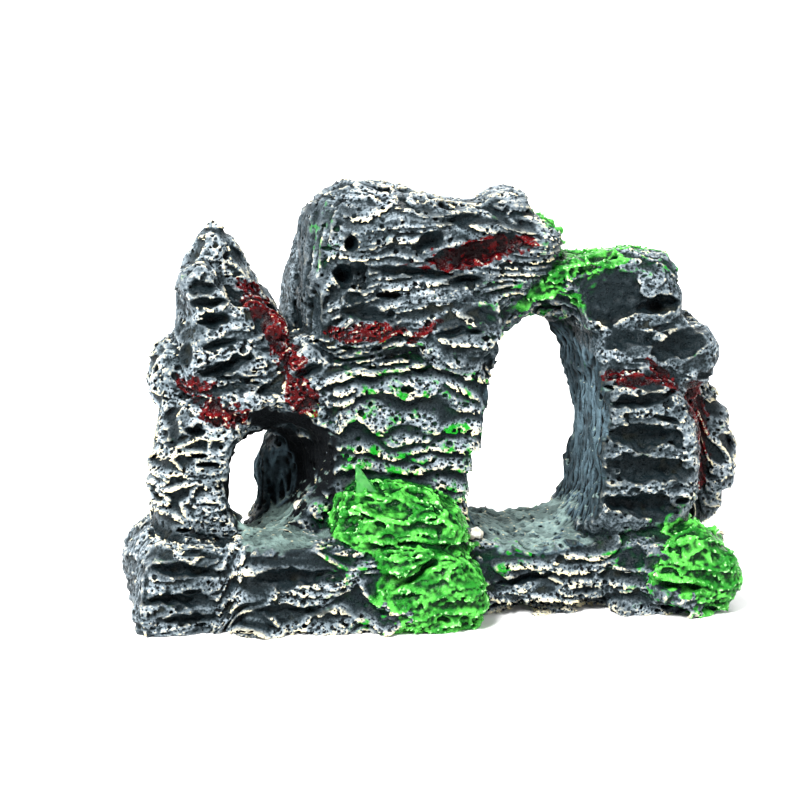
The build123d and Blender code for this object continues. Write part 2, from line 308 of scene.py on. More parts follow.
class Cells:
    """How far each place is from the nearest of many scattered seeds, about one in each unit cell."""

    COUNT, STEPS = 12, 8  # the pattern repeats after this many cells, with this many samples in each

    def __init__(self, seed):
        rng = np.random.default_rng(seed)
        seeds = rng.uniform(0.1, 0.9, (self.COUNT,) * 3 + (3,)).astype(np.float32)
        size = self.COUNT * self.STEPS
        at = np.arange(size) / self.STEPS
        cell, rest = np.floor(at).astype(int), (at - np.floor(at)).astype(np.float32)
        nearest = np.full((size,) * 3, 9.0, np.float32)
        for i, j, k in np.ndindex(3, 3, 3):
            shift = (i - 1, j - 1, k - 1)
            index = [(cell + s) % self.COUNT for s in shift]
            seed_at = seeds[np.ix_(*index)]
            gaps = [
                seed_at[..., axis] + shift[axis] - rest.reshape([-1 if a == axis else 1 for a in range(3)])
                for axis in range(3)
            ]
            np.minimum(nearest, sum(gap * gap for gap in gaps), out=nearest)
        self.field = np.sqrt(nearest)

    def __call__(self, x, y, z):
        size = self.COUNT * self.STEPS
        index, share = [], []
        for value in (x, y, z):
            at = value * self.STEPS
            cell = np.floor(at)
            index.append(cell.astype(np.int32))
            share.append((at - cell).astype(np.float32))
        total = 0
        for i, j, k in np.ndindex(2, 2, 2):
            weight = (share[0] if i else 1 - share[0]) * (share[1] if j else 1 - share[1])
            weight = weight * (share[2] if k else 1 - share[2])
            total = total + weight * self.field[
                (index[0] + i) % size, (index[1] + j) % size, (index[2] + k) % size
            ]
        return total


NOISES = [Noise(seed) for seed in range(20)]
CELLS = Cells(101)


def noise(index, x, y, z, wide, tall):
    """One of the noises, with lumps about wide millimetres across and tall millimetres high."""
    return NOISES[index](x / wide, y / wide, z / tall)


# ---- grids ----
class Lattice:
    """A block of grid points: first is the index of its first point, shape how many there are."""

    def __init__(self, step, low, high):
        self.step = step
        self.first = np.floor(np.array(low) / step).astype(int)
        self.shape = tuple(np.ceil(np.array(high) / step).astype(int) - self.first + 1)

    def axes(self):
        return [
            ((self.first[a] + np.arange(self.shape[a])) * self.step).astype(np.float32)
            for a in range(3)
        ]

    def places(self, chosen):
        """The coordinates of the chosen points, as three flat arrays."""
        spread = np.meshgrid(*self.axes(), indexing="ij", sparse=True)
        return [np.broadcast_to(axis, self.shape)[chosen] for axis in spread]


def along(axis, part):
    """An index that takes part of one axis and all of the others."""
    return tuple(part if a == axis else slice(None) for a in range(3))


def resample(field, source, target):
    """A smooth reading of field, known on the lattice source, at the points of target."""
    for axis, places in enumerate(target.axes()):
        at = places / source.step - source.first[axis]
        cell = np.clip(np.floor(at).astype(int), 1, source.shape[axis] - 3)
        t = (at - cell).astype(np.float32)
        weights = (
            (1 - t) ** 3 / 6,
            (3 * t**3 - 6 * t**2 + 4) / 6,
            (-3 * t**3 + 3 * t**2 + 3 * t + 1) / 6,
            t**3 / 6,
        )
        shape = [1, 1, 1]
        shape[axis] = -1
        field = sum(
            np.take(field, cell + k - 1, axis=axis) * w.reshape(shape)
            for k, w in enumerate(weights)
        )
    return field


def blur(field, sigma):
    """Gaussian blur, sigma in grid steps."""
    radius = max(1, int(math.ceil(2.5 * sigma)))
    weights = np.exp(-0.5 * (np.arange(-radius, radius + 1) / sigma) ** 2)
    weights = (weights / weights.sum()).astype(np.float32)
    for axis in range(3):
        pad = [(0, 0)] * 3
        pad[axis] = (radius, radius)
        padded = np.pad(field, pad, mode="edge")
        count = field.shape[axis]
        field = sum(w * padded[along(axis, slice(k, k + count))] for k, w in enumerate(weights))
    return field


def grid_of(field, lattice):
    grid = vdb.FloatGrid(float(REACH))
    solid = np.ascontiguousarray(field, dtype=np.float32)
    grid.copyFromArray(solid, ijk=tuple(map(int, lattice.first)))
    grid.transform = vdb.createLinearTransform(voxelSize=lattice.step)
    return grid


def distance_to(points, faces, lattice):
    """Signed distance, negative inside, to a closed surface, at the lattice's points."""
    kind = "triangles" if faces.shape[1] == 3 else "quads"
    grid = vdb.FloatGrid.createLevelSetFromPolygons(
        points.astype(np.float32),
        transform=vdb.createLinearTransform(voxelSize=lattice.step),
        halfWidth=REACH / lattice.step,
        **{kind: faces.astype(np.int32)},
    )
    field = np.empty(lattice.shape, np.float32)
    grid.copyToArray(field, ijk=tuple(map(int, lattice.first)))
    return field


def read_at(field, lattice, points):
    """The field's value at each point, from the eight grid points around it."""
    at = points / lattice.step - lattice.first
    cell = np.clip(np.floor(at).astype(int), 0, np.array(lattice.shape) - 2)
    t = at - cell
    total = 0
    for corner in np.ndindex(2, 2, 2):
        weight = np.prod(np.where(corner, t, 1 - t), axis=1)
        total = total + weight * field[tuple((cell + corner).T)]
    return total


def node_surface(name):
    """The corners, in millimetres, and triangles of a CAD node."""
    mesh = frame["nodes"][name].data
    points = np.empty(len(mesh.vertices) * 3, np.float32)
    mesh.vertices.foreach_get("co", points)
    mesh.calc_loop_triangles()
    triangles = np.empty(len(mesh.loop_triangles) * 3, np.int32)
    mesh.loop_triangles.foreach_get("vertices", triangles)
    return points.reshape(-1, 3) / MM, triangles.reshape(-1, 3)


def node_box(name):
    low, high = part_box(name)
    return np.array(low) / MM, np.array(high) / MM


def spots(table):
    """Each entry of a table of hollows or patches: its stone's box, its middle's x and z, the rest."""
    for name, entries in table.items():
        low, high = node_box(name)
        for share_x, share_z, *rest in entries:
            x = low[0] + share_x * (high[0] - low[0])
            z = low[2] + share_z * (high[2] - low[2])
            yield low, high, x, z, rest


# ---- the coarse model of the whole rockery ----
class Rockery:
    """Coarse fields over the whole object: its rounded shape, whose each place is, and the masks."""

    JOIN = 1.3  # gaps between stones narrower than twice this are filled
    FOOT = 2.4  # below this height the rock goes straight down to its flat underside
    ROUNDING = 1.25  # how far the stones' edges are softened

    def __init__(self):
        low, high = (np.array(corner) / MM for corner in CAD_BOX)
        self.lattice = Lattice(COARSE, low - REACH - 2, high + REACH + 2)
        self.own = {}
        self.first = np.full(self.lattice.shape, REACH, np.float32)
        self.second = self.first.copy()
        self.owner = np.full(self.lattice.shape, -1, np.int16)
        for index, name in enumerate(STONES):
            self._add(index, name)
        self.shape = self._whole()
        self.slope = np.gradient(self.shape, COARSE)
        self.masks = self._masks()

    def _add(self, index, name):
        points, triangles = node_surface(name)
        field = distance_to(points, triangles, self.lattice)
        start = np.floor((points.min(0) - REACH) / COARSE).astype(int) - self.lattice.first
        stop = np.ceil((points.max(0) + REACH) / COARSE).astype(int) - self.lattice.first + 2
        crop = tuple(slice(max(0, a), b) for a, b in zip(start, stop))
        field = field[crop].copy()
        self.own[name] = (crop, field)
        best, next_best, who = self.first[crop], self.second[crop], self.owner[crop]
        closer = field < best
        next_best[:] = np.where(closer, best, np.minimum(next_best, field))
        who[closer] = index
        np.minimum(best, field, out=best)

    def _whole(self):
        """One signed distance for all the stones together, rounded and gently lumpy."""
        grid = grid_of(self.first - self.JOIN, self.lattice)
        points, quads = grid.convertToQuads(isovalue=0.0)
        whole = distance_to(points, quads, self.lattice) + self.JOIN
        whole = blur(whole, self.ROUNDING / COARSE)
        near = np.abs(whole) < REACH - 1
        x, y, z = self.lattice.places(near)
        whole[near] += 1.5 * noise(0, x, y, z, 18, 15) + 0.7 * noise(1, x, y, z, 8, 7)
        for at_x, at_y, at_z, radius, depth in DENTS:
            apart = (x - at_x) ** 2 + (y - at_y) ** 2 + (z - at_z) ** 2
            whole[near] += depth * np.exp(-apart / (0.5 * radius**2))
        foot = int(round(self.FOOT / COARSE)) - self.lattice.first[2]
        whole[:, :, :foot] = whole[:, :, foot : foot + 1]
        return whole

    def _masks(self):
        moss = np.isin(self.owner, [STONES.index(name) for name in MOSSY]).astype(np.float32)
        masks = {
            "moss": blur(moss, 0.9 / COARSE),
            "damp": blur(moss, 4.0 / COARSE),
            "wall": self._walls(),
            "tunnel": self._walls("cave"),
            "seam": np.minimum(self.second - self.first, 4).astype(np.float32),
        }
        for style in STYLES:
            share = np.array([WEATHER[name].get(style, 0) for name in STONES] + [0], np.float32)
            masks[style] = blur(share[self.owner], 1.4 / COARSE)
        total = sum(masks[style] for style in STYLES) + 1e-3
        for style in STYLES:
            masks[style] /= total
        return masks

    def _walls(self, start=""):
        """1 on the smooth sides of the passages, which face a stated opening from close by."""
        spread = np.meshgrid(*self.lattice.axes(), indexing="ij", sparse=True)
        gap = np.full(self.lattice.shape, 99.0, np.float32)
        for opening in RECORD["physics"]["openings"]:
            if opening["name"].startswith(start):
                low, high = (np.array(corner) / MM for corner in opening["box_m"])
                beyond = [
                    np.maximum(np.maximum(a - g, g - b), 0) for a, b, g in zip(low, high, spread)
                ]
                gap = np.minimum(gap, np.sqrt(sum(b * b for b in beyond)))
        away = np.gradient(gap, COARSE)
        facing = -sum(a * b for a, b in zip(away, self.slope))
        near = smoothstep(10.5, 8.0, gap) * smoothstep(0.45, 0.8, facing)
        return blur(near.astype(np.float32), 1)

    def edge(self, name):
        """Negative where the named stone is the nearest one."""
        crop, field = self.own[name]
        mine = self.owner[crop] == STONES.index(name)
        rival = np.where(mine, self.second[crop], self.first[crop])
        out = np.full(self.lattice.shape, REACH, np.float32)
        out[crop] = (field - rival) / 2
        return out

    def front_at(self, x, z, around=4):
        """How far forward the rock's surface comes within a few millimetres of x and z."""
        reach = int(around / COARSE)
        ix = int(round(x / COARSE)) - self.lattice.first[0]
        iz = int(round(z / COARSE)) - self.lattice.first[2]
        near = self.shape[ix - reach : ix + reach + 1, :, iz - reach : iz + reach + 1] < 0
        solid = np.flatnonzero(near.any(axis=(0, 2)))
        return (solid[0] + self.lattice.first[1]) * COARSE


# ---- weathering ----
def ledge_wave(phase):
    """Going up: a crumbly lip, a slope falling back into a smooth groove, and a sharp overhang.

    Returns how deep each place is (0 to 1) and how crumbly it is (0 to 1).
    """
    f = phase - np.floor(phase)
    groove = smoothstep(0.02, 0.70, f) * (1 - smoothstep(0.82, 0.99, f))
    crumbly = 1 - smoothstep(0.25, 0.45, f) * (1 - smoothstep(0.86, 0.96, f))
    return groove, crumbly


def ledges(x, y, level):
    """Thick overhanging courses, about five millimetres apart."""
    wander = 0.7 * noise(2, x, y, level, 19, 12) + 0.3 * noise(3, x, y, level, 7, 6)
    groove, crumbly = ledge_wave(level / 5.4 + wander)
    small_groove, small_crumbly = ledge_wave(level / 3.1 + 1.6 * wander)
    choice = smoothstep(0.05, 0.3, noise(4, x, y, level, 15, 9))
    strength = np.clip(0.9 + 0.9 * noise(5, x, y, level, 11, 5.5), 0.2, 1.2)
    depth = mix(2.7 * groove, 1.5 * small_groove, choice) * strength
    smooth = smoothstep(0.2, 0.6, strength)
    return depth, mix(1, mix(crumbly, small_crumbly, choice), smooth)


def strata(x, y, level):
    """Thin flowing beds with broad waves and fine laminae."""
    wander = 1.3 * noise(2, x, y, level, 24, 15) + 0.6 * noise(3, x, y, level, 10, 8)
    bed, crumbly = ledge_wave(level / 3.0 + wander)
    leaf, leaf_crumbly = ledge_wave(level / 1.25 + 2.3 * wander)
    wide, _ = ledge_wave(level / 8.5 + 0.7 * wander)
    strength = np.clip(0.6 + 1.2 * noise(6, x, y, level, 11, 4.5), 0.05, 1.3)
    patchy = smoothstep(-0.1, 0.3, noise(7, x, y, level, 12, 7))
    depth = 1.2 * bed * strength + (0.55 - 0.3 * patchy) * leaf + 0.9 * wide * strength
    return depth, mix(0.5 * leaf_crumbly + 0.2, 0.35 + 0.65 * crumbly, patchy)


def web(n, m, width):
    """1 on the wide ribs of a net drawn by two noises, falling to 0 in its meshes."""
    rib = np.minimum(np.abs(n), np.abs(m) + 0.08)
    return 1 - smoothstep(width * 0.35, width * 2.4, rib)


def crags(x, y, level):
    """Deep long hollows between craggy ribs."""
    n = noise(8, x, y, level, 19, 7.0)
    m = noise(9, x, y, level, 12, 5.2)
    rib = web(n, m, 0.13)
    groove, crumbly = ledge_wave(level / 3.4 + 1.4 * n + 0.8 * m)
    return 2.3 * (1 - rib) + 0.7 * groove * rib, np.maximum(rib, 0.35 * crumbly)


def scoops(x, y, level):
    """Tall smooth scoops, stacked, with thin sharp lips between them."""
    wander = 0.6 * noise(2, x, y, level, 15, 14) + 0.3 * noise(3, x, y, level, 7, 8)
    f = level / 7.6 + wander
    f = f - np.floor(f)
    groove = smoothstep(0.0, 0.35, f) * (1 - smoothstep(0.80, 0.98, f))
    crumbly = 1 - smoothstep(0.08, 0.22, f) * (1 - smoothstep(0.88, 0.97, f))
    strength = np.clip(0.85 + 1.0 * noise(5, x, y, level, 12, 7), 0.15, 1.15)
    ripple = 0.35 * np.abs(noise(14, x, y, level, 6, 1.8))
    return (2.8 * groove + ripple) * strength, mix(0.9, crumbly, smoothstep(0.25, 0.6, strength))


def net(x, y, level):
    """Shallow scoops in a net of broad ribs."""
    n = noise(11, x, y, level, 10, 4.8)
    m = noise(12, x, y, level, 8, 5.4)
    rib = web(n, m, 0.16)
    hatch = np.abs(noise(13, x, y, level, 0.9, 5))
    return 1.9 * (1 - rib) + 0.15 * hatch * (1 - rib), rib


def calm(x, y, level):
    """Smooth rock with a few shallow dents."""
    dent = smoothstep(0.2, 0.7, noise(14, x, y, level, 7, 6))
    ripple = np.abs(noise(15, x, y, level, 3.5, 3))
    return 0.7 * dent + 0.35 * ripple, 0.3 + 0.3 * (1 - dent)


FORMS = {"ledges": ledges, "strata": strata, "crags": crags, "net": net, "scoops": scoops, "calm": calm}


def weathered(x, y, z, d, slope, masks):
    """The rock's new signed distance where its plain one is d, and how crumbly it is (0 to 1)."""
    wall, moss, seam = masks["wall"], masks["moss"], masks["seam"]
    top = smoothstep(0.6, 0.92, slope[2])
    below = smoothstep(0.6, 0.9, -slope[2])
    flank = smoothstep(0.5, 0.85, -slope[0]) * masks["strata"] * (1 - top)
    sway = 3.0 * noise(16, x, y, z, 28, 22)
    fan = masks["strata"] * (x + 4) * mix(0.28, -0.10, smoothstep(70, 96, z))
    arch = masks["ledges"] * 3.0 * np.clip((x + 18) / 26, -1, 1.3) ** 2 * (x < 18)
    level = z + sway - fan + arch + 0.8 * np.clip(d, -2.5, 1)
    depth, crumbly = 0, 0
    for style, form in FORMS.items():
        if masks[style].max() > 0.02:
            style_depth, style_crumbly = form(x, y, level)
            depth = depth + masks[style] * style_depth
            crumbly = crumbly + masks[style] * style_crumbly
    bumps = np.abs(noise(17, x, y, z, 4.2, 4.2))
    crumbs = np.abs(noise(18, x, y, z, 1.6, 1.4))
    flutes = np.abs(noise(15, x, y, z, 4.2, 15))
    depth = mix(depth, 1.8 * smoothstep(0, 0.5, flutes) + 0.6 * bumps, flank)
    rib = web(NOISES[8](x / 11, y / 8, z / 9), NOISES[9](x / 9, y / 7, z / 8), 0.15)
    top_depth = 1.9 * (1 - rib) + 0.3 * smoothstep(0, 0.4, bumps) + 0.3 * depth
    depth = mix(depth, top_depth, np.maximum(top, 0.7 * below))
    crumbly = mix(mix(crumbly, 0.4 * crumbly + 0.1, flank), 0.15 + 0.75 * rib, top)
    ripples = np.abs(NOISES[13](x / 3.0, y / 6.0, z / 3.0))
    streaks = np.abs(NOISES[16](x / 2.2, y / 2.0, z / 13))
    smooth_wall = 1.4 * bumps * (1 - top) + 0.7 * smoothstep(0, 0.45, streaks)
    sandy_floor = 1.5 * bumps + 0.9 * ripples + 0.35 * crumbs
    depth = mix(depth, mix(smooth_wall, sandy_floor, top), wall)
    patchy = smoothstep(-0.3, 0.15, noise(7, x, y, level, 9, 6))
    crumbly = crumbly * mix(0.68, 1, patchy) * (1 - wall * (1 - 0.5 * top))
    depth += 0.45 * (smoothstep(0, 0.4, crumbs) - 0.5) * crumbly
    depth += 0.6 * np.exp(-((seam / 1.2) ** 2)) * (1 - moss) * (1 - wall)
    lace = 1 - smoothstep(0.18, 0.50, CELLS(x / 1.75, y / 1.75, z / 1.05))
    depth += 0.65 * lace * smoothstep(0.35, 0.85, crumbly) * (1 - moss)
    tufts = noise(19, x, y, z, 2.4, 1.8)
    grains = CELLS(x / 1.15 + 3, y / 1.15, z / 1.15)
    moss_depth = 1.0 * depth + 0.35 * tufts + 0.9 * (grains - 0.4)
    depth = mix(depth - 0.8, moss_depth - 0.9, moss)
    return d + depth, crumbly


# ---- pits and hollows ----
def scattered_pits(rockery):
    """The gas pits, as x, y, z, radius and length over radius: mostly small, a few long."""
    rng = np.random.default_rng(41)
    masks = rockery.masks
    near = (np.abs(rockery.shape + 0.3) < 0.6) & (masks["wall"] < 0.5) & (masks["calm"] < 0.6)
    near &= masks["moss"] < 0.6
    places = np.argwhere(near)
    chosen = places[rng.choice(len(places), 14000)]
    centres = (chosen + rockery.lattice.first + rng.uniform(-0.5, 0.5, chosen.shape)) * COARSE
    radii = np.clip(0.34 + 0.14 * rng.exponential(1.0, len(centres)), 0.34, 1.3)
    stretch = np.ones(len(centres))
    long = rng.random(len(centres)) < 0.006
    stretch[long] = rng.uniform(2.0, 4.0, long.sum())
    radii[long] = rng.uniform(0.5, 0.95, long.sum())
    return np.column_stack([centres, radii, stretch])


def dig_pit(field, lattice, pit):
    """Takes one pit out of the solid. Its length runs sideways, its height is twice its radius."""
    centre, radius, stretch = pit[:3], pit[3], pit[4]
    sizes = np.array([radius * stretch, radius * stretch, radius])
    crop, parts = [], []
    for axis, middle, size in zip(lattice.axes(), centre, sizes):
        reach = size + 2 * lattice.step
        start = int(np.searchsorted(axis, middle - reach))
        stop = int(np.searchsorted(axis, middle + reach))
        if start >= stop:
            return
        crop.append(slice(start, stop))
        parts.append((axis[start:stop] - middle) / size)
    away = np.sqrt(
        parts[0][:, None, None] ** 2 + parts[1][None, :, None] ** 2 + parts[2][None, None, :] ** 2
    )
    block = field[tuple(crop)]
    np.maximum(block, radius * (1 - away), out=block)


def front_hollows(rockery):
    """The long hollows: middle, half sizes along x, y and z, and rise."""
    found = []
    for _, _, x, z, (length, height, depth, rise) in spots(HOLLOWS):
        found.append((x, rockery.front_at(x, z), z, length, depth + 1, height, rise))
    return found


def dig_hollow(field, crumbly, lattice, hollow):
    """Takes one ragged hollow out of the solid and leaves its inside smooth."""
    x, y, z, length, depth, height, rise = hollow
    reach = np.array([length, depth, height + abs(rise) * length]) * 1.3 + 1
    crop = []
    for axis, middle, size in zip(lattice.axes(), (x, y, z), reach):
        start, stop = np.searchsorted(axis, (middle - size, middle + size))
        if start >= stop:
            return
        crop.append(slice(int(start), int(stop)))
    crop = tuple(crop)
    block = field[crop]
    some = [axis[part] for axis, part in zip(lattice.axes(), crop)]
    px, py, pz = (g.ravel() for g in np.meshgrid(*some, indexing="ij"))
    sag = min(1.5, 0.6 * height)
    wave = sag * (noise(1, px, py, pz, 5, 3.5) + 0.6 * noise(3, px, py, pz, 2.2, 2))
    across = (px - x) / length
    up = (pz - z - rise * (px - x) + wave) / height
    inward = (py - y) / depth
    away = np.sqrt(across**2 + up**2 + inward**2) + 0.2 * noise(5, px, py, pz, 2.6, 2.2)
    dug = (height * 0.9 * (1 - away)).reshape(block.shape)
    crumbly[crop] = np.where(dug > np.maximum(block, -0.6), 0.0, crumbly[crop])
    np.maximum(block, dug, out=block)


# ---- from fields to meshes ----
def closed_mesh(grid):
    """Corners and triangles of the grid's surface, flat places with fewer, larger triangles."""
    for flatness in (0.05, 0.1, 0.2, 0.4, 0.8):
        points, triangles, quads = grid.convertToPolygons(isovalue=0.0, adaptivity=flatness)
        if len(triangles) + 2 * len(quads) <= MOST_FACES:
            break
    halves = [triangles, quads[:, [0, 1, 2]], quads[:, [0, 2, 3]]]
    return points, np.concatenate(halves).astype(np.int64)


def largest_piece(points, triangles):
    """The biggest connected part of a mesh, without loose crumbs and inner bubbles."""
    label = np.arange(len(points))
    while True:
        lowest = label[triangles].min(axis=1)
        new = label.copy()
        np.minimum.at(new, triangles.ravel(), np.repeat(lowest, 3))
        new = new[new]
        if np.array_equal(new, label):
            break
        label = new
    names, counts = np.unique(label, return_counts=True)
    keep = label == names[counts.argmax()]
    index = np.cumsum(keep) - 1
    return points[keep], index[triangles[keep[triangles[:, 0]]]]


def patch_share(patches, points, rear=False):
    """How strongly each point of a front or rear surface is covered by the patches in a table."""
    x, y, z = points.T
    ragged = 0.5 * noise(3, x, y, z, 3.5, 2.5) + 0.4 * noise(5, x, y, z, 1.3, 1.1)
    total = np.zeros(len(points))
    for low, high, middle_x, middle_z, (length, height, rise) in spots(patches):
        dx = x - middle_x
        dz = z - middle_z - rise * dx
        away = np.sqrt((dx / length) ** 2 + (dz / height) ** 2) + ragged
        inward = high[1] - y if rear else y - low[1]
        total = np.maximum(total, smoothstep(1.15, 0.8, away) * smoothstep(14, 9, inward))
    return total


def carve(name, rockery, pits, hollows):
    """The points, faces and painted values of one weathered stone."""
    points, _ = node_surface(name)
    low, high = points.min(0) - MARGIN, points.max(0) + MARGIN
    lattice = Lattice(FINE, low, high)
    d = resample(rockery.shape, rockery.lattice, lattice)
    edge = resample(rockery.edge(name), rockery.lattice, lattice)
    masks = {key: resample(field, rockery.lattice, lattice) for key, field in rockery.masks.items()}
    slope = [resample(field, rockery.lattice, lattice) for field in rockery.slope]
    steep = np.sqrt(sum(s * s for s in slope)) + 1e-6
    band = (d > DEEPEST) & (d < HIGHEST) & (edge < 2.0)
    rock, crumbly = d.copy(), np.zeros(lattice.shape, np.float32)
    rock[band], crumbly[band] = weathered(
        *lattice.places(band),
        d[band],
        [(s / steep)[band] for s in slope],
        {key: field[band] for key, field in masks.items()},
    )
    for hollow in hollows:
        dig_hollow(rock, crumbly, lattice, hollow)
    for pit in pits[np.all((pits[:, :3] > low - 3) & (pits[:, :3] < high + 3), axis=1)]:
        dig_pit(rock, lattice, pit)
    rock = np.maximum(rock, -lattice.axes()[2][None, None, :])
    solid = np.maximum(rock, edge - OVERLAP)
    grid = grid_of(np.clip(solid, -3 * FINE, 3 * FINE), lattice)
    vertices, triangles = largest_piece(*closed_mesh(grid))
    paint = {
        "crest": blur(np.clip(rock, -0.7, 0.7), 0.6 / FINE),
        "hollow": blur(np.clip(rock, -2.5, 2.5), 2.2 / FINE),
        "crumbly": crumbly,
        **{key: masks[key] for key in ("moss", "damp", "wall", "tunnel")},
    }
    paint = {key: read_at(field, lattice, vertices) for key, field in paint.items()}
    # the tunnel mask, which carries the cave's painted shade, fades out towards the rear
    paint["tunnel"] *= smoothstep(13.0, 10.0, vertices[:, 1])
    for key, (front, rear) in PATCHES.items():
        paint[key] = patch_share(front, vertices) + patch_share(rear, vertices, True)
    return vertices, triangles, paint


def add_object(name, data):
    thing = bpy.data.objects.new(name, data)
    bpy.context.scene.collection.objects.link(thing)
    return thing


def make_mesh(name, vertices, triangles, paint):
    mesh = bpy.data.meshes.new(name)
    mesh.vertices.add(len(vertices))
    mesh.vertices.foreach_set("co", (vertices * MM).astype(np.float32).ravel())
    mesh.loops.add(len(triangles) * 3)
    mesh.loops.foreach_set("vertex_index", triangles[:, ::-1].astype(np.int32).ravel())
    mesh.polygons.add(len(triangles))
    mesh.polygons.foreach_set("loop_start", np.arange(0, len(triangles) * 3, 3, dtype=np.int32))
    mesh.polygons.foreach_set("use_smooth", np.ones(len(triangles), bool))
    mesh.update(calc_edges=True)
    for key, values in paint.items():
        layer = mesh.attributes.new(key, "FLOAT", "POINT")
        layer.data.foreach_set("value", values.astype(np.float32))
    return add_object(name, mesh)


# ---- materials ----
SLATE = (0.0032, 0.0075, 0.0095)
BLACK = (0.0015, 0.0020, 0.0026)
GREY = (0.092, 0.125, 0.145)
LILAC = (0.28, 0.325, 0.36)
CREAM = (0.78, 0.68, 0.42)
OLIVE = (0.07, 0.062, 0.024)
WALL_BLUE = (0.085, 0.135, 0.165)
# painted shade: near-black for the cave's walls, where the cave's shadow falls
TUNNEL_PAINTED_SHADE = (0.002, 0.003, 0.004)
FLOOR_GREEN = (0.19, 0.27, 0.255)
# painted shade: the open floor's grey-green made darker for the floor inside the cave
CAVE_FLOOR_SHADED = (0.16, 0.235, 0.215)
LEAF_GREEN = (0.005, 0.22, 0.010)
DEEP_GREEN = (0.001, 0.020, 0.008)
MOSS_DARK = (0.0006, 0.019, 0.003)
MOSS_LEAF = (0.014, 0.17, 0.015)
MOSS_BRIGHT = (0.085, 0.46, 0.060)
# painted highlight: the pale green of the glints on the moss
MOSS_PAINTED_GLINT = (0.42, 0.88, 0.34)
CRIMSON = (0.120, 0.0010, 0.0020)
DARK_RED = (0.0070, 0.0012, 0.0018)
SHARD_GREEN = (0.012, 0.16, 0.020)
SHARD_PALE = (0.035, 0.24, 0.035)
PEBBLE_WHITE = (0.80, 0.79, 0.74)
PEBBLE_BROWN = (0.42, 0.38, 0.30)
PAINT_GLOSS = 0.10  # specular level of the matt paint


class Paint:
    """Short ways to add nodes to one material."""

    def __init__(self, name):
        self.material = bpy.data.materials.new(name)
        self.material.use_nodes = True
        self.nodes = self.material.node_tree.nodes
        self.links = self.material.node_tree.links
        self.shader = self.nodes["Principled BSDF"]
        self.place = self.node("TexCoord").outputs["Object"]

    def put(self, value, socket):
        """Links an output to a socket, or sets the socket to a number or colour."""
        if isinstance(value, bpy.types.NodeSocket):
            self.links.new(value, socket)
        elif isinstance(value, tuple):
            socket.default_value = (*value, 1)
        else:
            socket.default_value = value

    def node(self, kind, **values):
        """A new node whose inputs, named with _ for a space, are linked or set to the values."""
        node = self.nodes.new("ShaderNode" + kind)
        for key, value in values.items():
            self.put(value, node.inputs[key.replace("_", " ")])
        return node

    def attribute(self, key):
        node = self.node("Attribute")
        node.attribute_name = key
        return node.outputs["Fac"]

    def noise(self, size, detail=2):
        """Noise from 0 to 1 whose lumps are about size millimetres."""
        node = self.node("TexNoise", Vector=self.place, Scale=1 / (size * MM), Detail=detail)
        return node.outputs["Fac"]

    def pores(self, size):
        """0 in the middle of each small pore, 1 between them."""
        node = self.node("TexVoronoi", Vector=self.place, Scale=1 / (size * MM))
        return self.ramp(node.outputs["Distance"], 0.16, 0.38)

    def ramp(self, value, low, high, start=0, stop=1):
        ends = {"From_Min": low, "From_Max": high, "To_Min": start, "To_Max": stop}
        node = self.node("MapRange", Value=value, **ends)
        node.interpolation_type = "SMOOTHSTEP"
        return node.outputs["Result"]

    def math(self, operation, a, b):
        node = self.node("Math")
        node.operation = operation
        self.put(a, node.inputs[0])
        self.put(b, node.inputs[1])
        return node.outputs["Value"]

    def add(self, a, b):
        return self.math("ADD", a, b)

    def times(self, a, b):
        return self.math("MULTIPLY", a, b)

    def blend(self, share, a, b):
        node = self.node("Mix", Factor=share)
        node.data_type = "RGBA"
        self.put(a, node.inputs[6])
        self.put(b, node.inputs[7])
        return node.outputs[2]

    def upward(self):
        """How far the surface faces up, -1 to 1."""
        geometry = self.node("NewGeometry")
        return self.node("SeparateXYZ", Vector=geometry.outputs["Normal"]).outputs["Z"]

    def bump(self, height, distance, under=None):
        node = self.node("Bump", Distance=distance * MM, Height=height)
        if under is not None:
            self.put(under, node.inputs["Normal"])
        return node.outputs["Normal"]


def rock_colour(paint, crest, hollow, crumbly):
    """Slate base coat, grey and lilac dry brushing, cream on the crests and black in the hollows, plus
    painted light from above that makes faces pointing up a little lighter.
    """
    speckle = paint.times(paint.add(paint.noise(0.6, 3), -0.5), 0.45)
    pores = paint.math("MINIMUM", paint.pores(0.8), paint.pores(1.6))
    rough = paint.ramp(crumbly, 0.25, 0.75)
    # painted light: faces that point up are pushed a little towards the lighter coats, as if lit from
    # above
    raised_and_top_lit = paint.add(paint.add(crest, speckle), paint.times(paint.upward(), 0.04))
    raised_and_top_lit = paint.add(raised_and_top_lit, paint.times(paint.times(paint.add(pores, -0.9), 0.25), rough))
    open_share = paint.ramp(hollow, -0.7, 0.3, 0.04, 1.0)
    wash = paint.times(paint.ramp(raised_and_top_lit, -0.12, 0.20), paint.ramp(crumbly, 0.0, 0.7, 0.05, 1.0))
    colour = paint.blend(paint.times(wash, open_share), SLATE, GREY)
    patch = paint.ramp(paint.noise(9, 2), 0.35, 0.65, 0.35, 1.0)
    light = paint.times(paint.ramp(raised_and_top_lit, 0.0, 0.24), paint.ramp(crumbly, 0.1, 0.75, 0.05, 1.0))
    colour = paint.blend(paint.times(paint.times(light, patch), open_share), colour, LILAC)
    cream = paint.times(paint.ramp(raised_and_top_lit, 0.17, 0.35), paint.ramp(crumbly, 0.2, 0.75, 0.05, 1.0))
    cream = paint.times(cream, paint.ramp(paint.noise(4, 2), 0.35, 0.6, 0.5, 1.0))
    colour = paint.blend(cream, colour, CREAM)
    olive = paint.times(paint.ramp(paint.noise(5, 1), 0.55, 0.7), paint.ramp(crest, 0.05, -0.2))
    colour = paint.blend(paint.times(olive, 0.15), colour, OLIVE)
    holes = paint.times(paint.ramp(pores, 0.5, 0.0), rough)
    deep = paint.math("MAXIMUM", paint.ramp(crest, -0.12, -0.30), paint.ramp(hollow, -0.5, -1.3))
    return paint.blend(paint.math("MAXIMUM", holes, deep), colour, BLACK)


